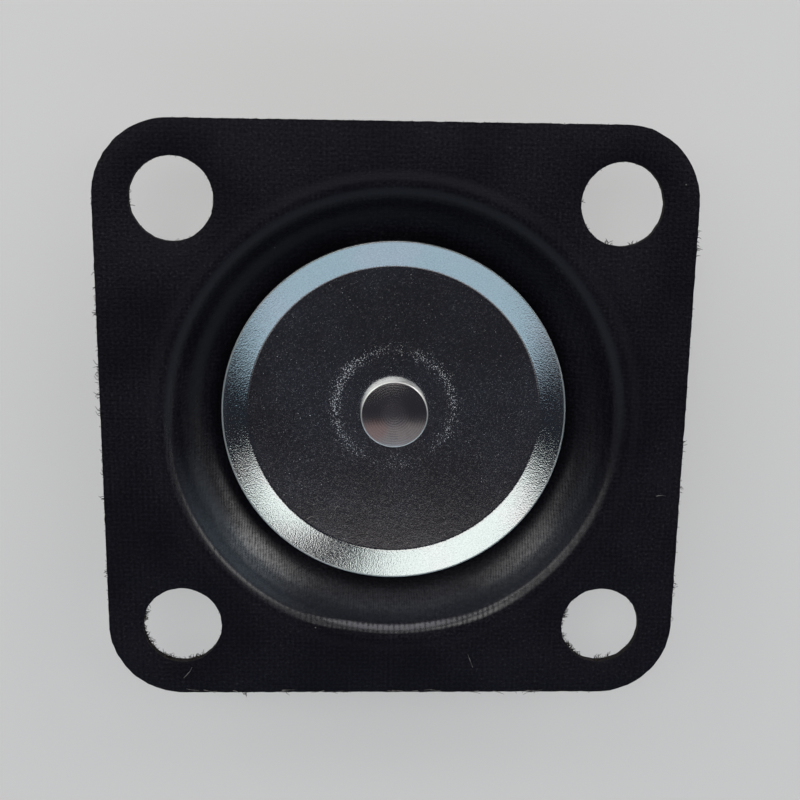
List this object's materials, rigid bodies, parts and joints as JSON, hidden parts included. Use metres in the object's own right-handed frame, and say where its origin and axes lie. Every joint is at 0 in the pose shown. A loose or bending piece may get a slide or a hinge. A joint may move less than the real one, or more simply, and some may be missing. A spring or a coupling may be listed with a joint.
{
  "type": "pump diaphragm",
  "caption": "Square flanged rubber diaphragm with a moulded dish, its centre riveted between pressed zinc-plated plates; it seals a pump's cover to its body and flexes to move fluid.",
  "frame": {"origin": "centre of the screw-hole pattern, on the flange's front face", "axes": "+Z out of the flange's front face, the open side of the dish; +X and +Y along the flange's sides"},
  "size_m": [0.042, 0.042, 0.0072],
  "materials": {
    "rubber": "matt black rubber over fine woven fabric",
    "zinc_plate": "bright zinc plating",
    "rivet_steel": "turned, plated"
  },
  "bodies": {
    "root": {"diaphragm": "rubber", "front_plate": "zinc_plate", "back_plate": "zinc_plate", "rivet": "rivet_steel"}
  },
  "joints": []
}
